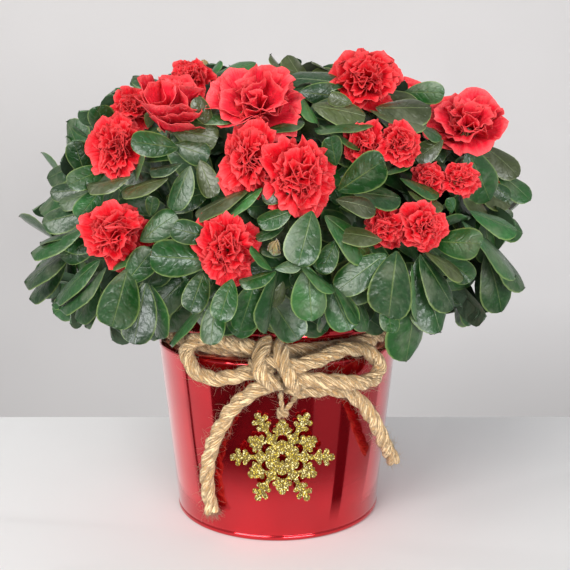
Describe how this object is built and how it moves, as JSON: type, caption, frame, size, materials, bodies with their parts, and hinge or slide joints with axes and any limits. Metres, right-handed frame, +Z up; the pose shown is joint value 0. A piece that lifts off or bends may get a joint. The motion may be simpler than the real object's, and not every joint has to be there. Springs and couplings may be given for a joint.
{
  "type": "potted azalea",
  "caption": "Flowering azalea with a domed leafy crown in a red metal pot tied with a jute bow and a glitter snowflake; stands on the pot's flat base.",
  "frame": {"origin": "middle of the pot's flat underside, where it stands on a table", "axes": "+Z up; the front with the bow and the snowflake faces -Y; +X is to the right seen from the front"},
  "size_m": [0.3252, 0.317, 0.2892],
  "materials": {
    "pot_paint": "gloss enamel",
    "peat": "moist crumbs",
    "bark": "fine fissured bark",
    "foliage": "satin leaf",
    "petals": "soft petal",
    "jute": "twisted fibre",
    "gold_glitter": "gold glitter"
  },
  "bodies": {
    "root": {"pot": "pot_paint", "soil": "peat", "trunk": "bark", "bough_front": "bark", "bough_front_right": "bark", "bough_back_right": "bark", "bough_back": "bark", "bough_back_left": "bark", "bough_front_left": "bark", "bough_top_right": "bark", "bough_top_back": "bark", "bough_top_left": "bark", "foliage_front": "foliage", "foliage_front_right": "foliage", "foliage_back_right": "foliage", "foliage_back": "foliage", "foliage_back_left": "foliage", "foliage_front_left": "foliage", "foliage_top_right": "foliage", "foliage_top_back": "foliage", "foliage_top_left": "foliage", "rope_band": "jute", "bow_knot": "jute", "bow_loop_left": "jute", "bow_loop_right": "jute", "rope_tail_left": "jute", "rope_tail_right": "jute", "string": "jute", "snowflake": "gold_glitter"}
  },
  "joints": []
}
